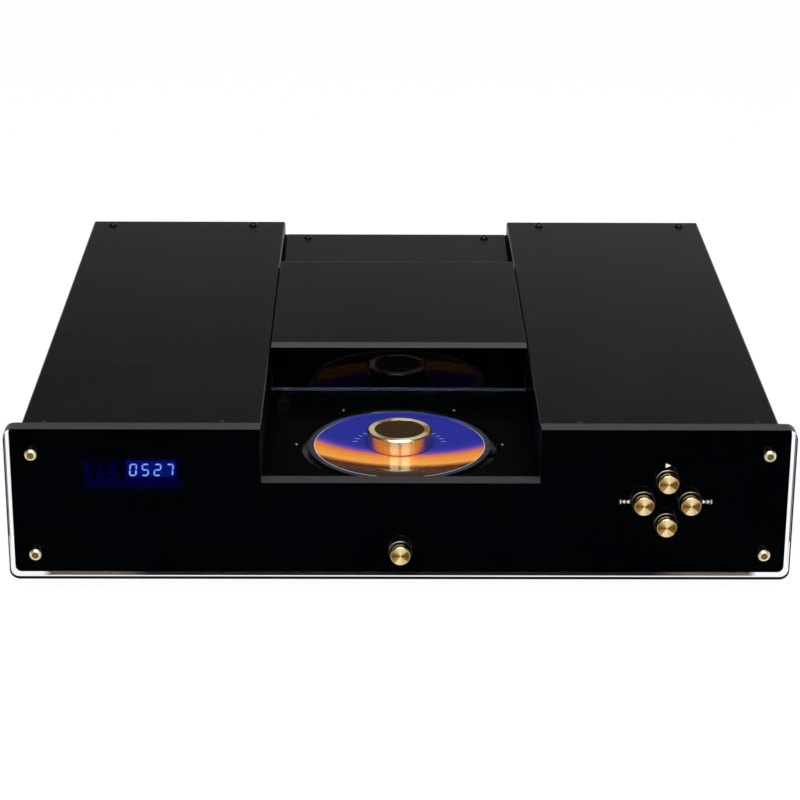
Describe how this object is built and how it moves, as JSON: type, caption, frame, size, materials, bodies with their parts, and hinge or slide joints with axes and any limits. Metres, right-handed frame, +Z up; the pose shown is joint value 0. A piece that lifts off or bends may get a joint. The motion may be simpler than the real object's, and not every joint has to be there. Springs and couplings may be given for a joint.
{
  "type": "disc player",
  "caption": "Top-loading disc player: wide gloss front with display and buttons, a hand-slid lid over the disc well, and a loose disc clamp.",
  "frame": {"origin": "on the ground, under the middle of the whole player's plan", "axes": "+X to the right seen from the front, +Y to the back, +Z up"},
  "size_m": [0.483, 0.457, 0.112],
  "materials": {
    "black_acrylic": "clear acrylic, black behind, polished edges",
    "powder_coat": "fine charcoal powder coat",
    "black_steel": "satin black",
    "zinc_steel": "bright zinc plate",
    "gold": "spun and gilt",
    "brass": "turned and polished",
    "black_plastic": "moulded black",
    "rubber": "matt black",
    "printed_disc": "gloss print",
    "circuit_board": "green lacquer",
    "wound_core": "taped winding",
    "display_glass": "dark blue glass",
    "nylon": "natural moulded"
  },
  "bodies": {
    "root": {"front_panel": "black_acrylic", "front_subplate": "black_steel", "base_pan": "black_steel", "left_cover": "powder_coat", "right_cover": "powder_coat", "rear_panel": "black_steel", "centre_rear_cover": "powder_coat", "well_tray": "powder_coat", "lid_guide": "nylon", "foot_1": "rubber", "foot_2": "rubber", "foot_3": "rubber", "foot_4": "rubber", "faceplate_screw_1": "gold", "faceplate_screw_2": "gold", "faceplate_screw_3": "gold", "faceplate_screw_4": "gold", "cover_screw_1": "black_steel", "cover_screw_2": "black_steel", "cover_screw_3": "black_steel", "cover_screw_4": "black_steel", "centre_cover_screw_1": "black_steel", "centre_cover_screw_2": "black_steel", "transport_plate": "zinc_steel", "sled_rod_1": "zinc_steel", "sled_rod_2": "zinc_steel", "spindle_motor": "zinc_steel", "transport_mount_1": "rubber", "transport_mount_2": "rubber", "transport_mount_3": "rubber", "sled_motor": "zinc_steel", "display_module": "display_glass", "button_board": "circuit_board", "servo_board": "circuit_board", "converter_board": "circuit_board", "power_supply_board": "circuit_board", "mains_transformer": "wound_core", "transformer_clamp": "zinc_steel", "power_switch": "black_plastic", "lid_switch": "black_plastic", "mains_inlet": "black_plastic", "balanced_output_left": "zinc_steel", "balanced_output_right": "zinc_steel", "line_output_sockets": "zinc_steel", "digital_output": "zinc_steel"},
    "lid": {"lid_plate": "powder_coat", "lid_fascia": "black_acrylic", "left_runner": "zinc_steel", "right_runner": "zinc_steel"},
    "power_key": {"power_button": "gold"},
    "play_key": {"play_button": "gold"},
    "previous_key": {"previous_button": "gold"},
    "next_key": {"next_button": "gold"},
    "stop_key": {"stop_button": "gold"},
    "spindle": {"turntable_hub": "black_plastic"},
    "loaded_disc": {"disc": "printed_disc"},
    "clamp": {"disc_clamp": "brass"},
    "sled": {"laser_sled": "black_plastic"},
    "gear": {"drive_gear": "nylon"},
    "drawer": {"fuse_drawer": "black_plastic"}
  },
  "joints": [
    {"name": "lid_slide", "type": "slide", "parent": "root", "child": "lid", "axis": [0, 1, 0], "range_m": [-0.147, 0]},
    {"name": "power_press", "type": "slide", "parent": "root", "child": "power_key", "axis": [0, 1, 0], "range_m": [0, 0.002], "stiffness_N_per_m": 250},
    {"name": "play_press", "type": "slide", "parent": "root", "child": "play_key", "axis": [0, 1, 0], "range_m": [0, 0.002], "stiffness_N_per_m": 250},
    {"name": "previous_press", "type": "slide", "parent": "root", "child": "previous_key", "axis": [0, 1, 0], "range_m": [0, 0.002], "stiffness_N_per_m": 250},
    {"name": "next_press", "type": "slide", "parent": "root", "child": "next_key", "axis": [0, 1, 0], "range_m": [0, 0.002], "stiffness_N_per_m": 250},
    {"name": "stop_press", "type": "slide", "parent": "root", "child": "stop_key", "axis": [0, 1, 0], "range_m": [0, 0.002], "stiffness_N_per_m": 250},
    {"name": "spindle_turn", "type": "hinge", "parent": "root", "child": "spindle", "pos_m": [0, -0.1365, 0.058], "axis": [0, 0, 1], "continuous": true},
    {"name": "disc_lift", "type": "slide", "parent": "spindle", "child": "loaded_disc", "axis": [0, 0, 1], "range_m": [0, 0.08]},
    {"name": "clamp_lift", "type": "slide", "parent": "loaded_disc", "child": "clamp", "axis": [0, 0, 1], "range_m": [0, 0.06]},
    {"name": "sled_slide", "type": "slide", "parent": "root", "child": "sled", "axis": [1, 0, 0], "range_m": [0, 0.033]},
    {"name": "gear_turn", "type": "hinge", "parent": "root", "child": "gear", "pos_m": [0.045, -0.1064, 0.046], "axis": [0, 0, 1], "range_deg": [0, 240]},
    {"name": "fuse_drawer_slide", "type": "slide", "parent": "root", "child": "drawer", "axis": [0, 1, 0], "range_m": [0, 0.015]}
  ],
  "couplings": [
    {"joint": "gear_turn", "follows": "sled_slide", "rad_per_m": 125}
  ]
}
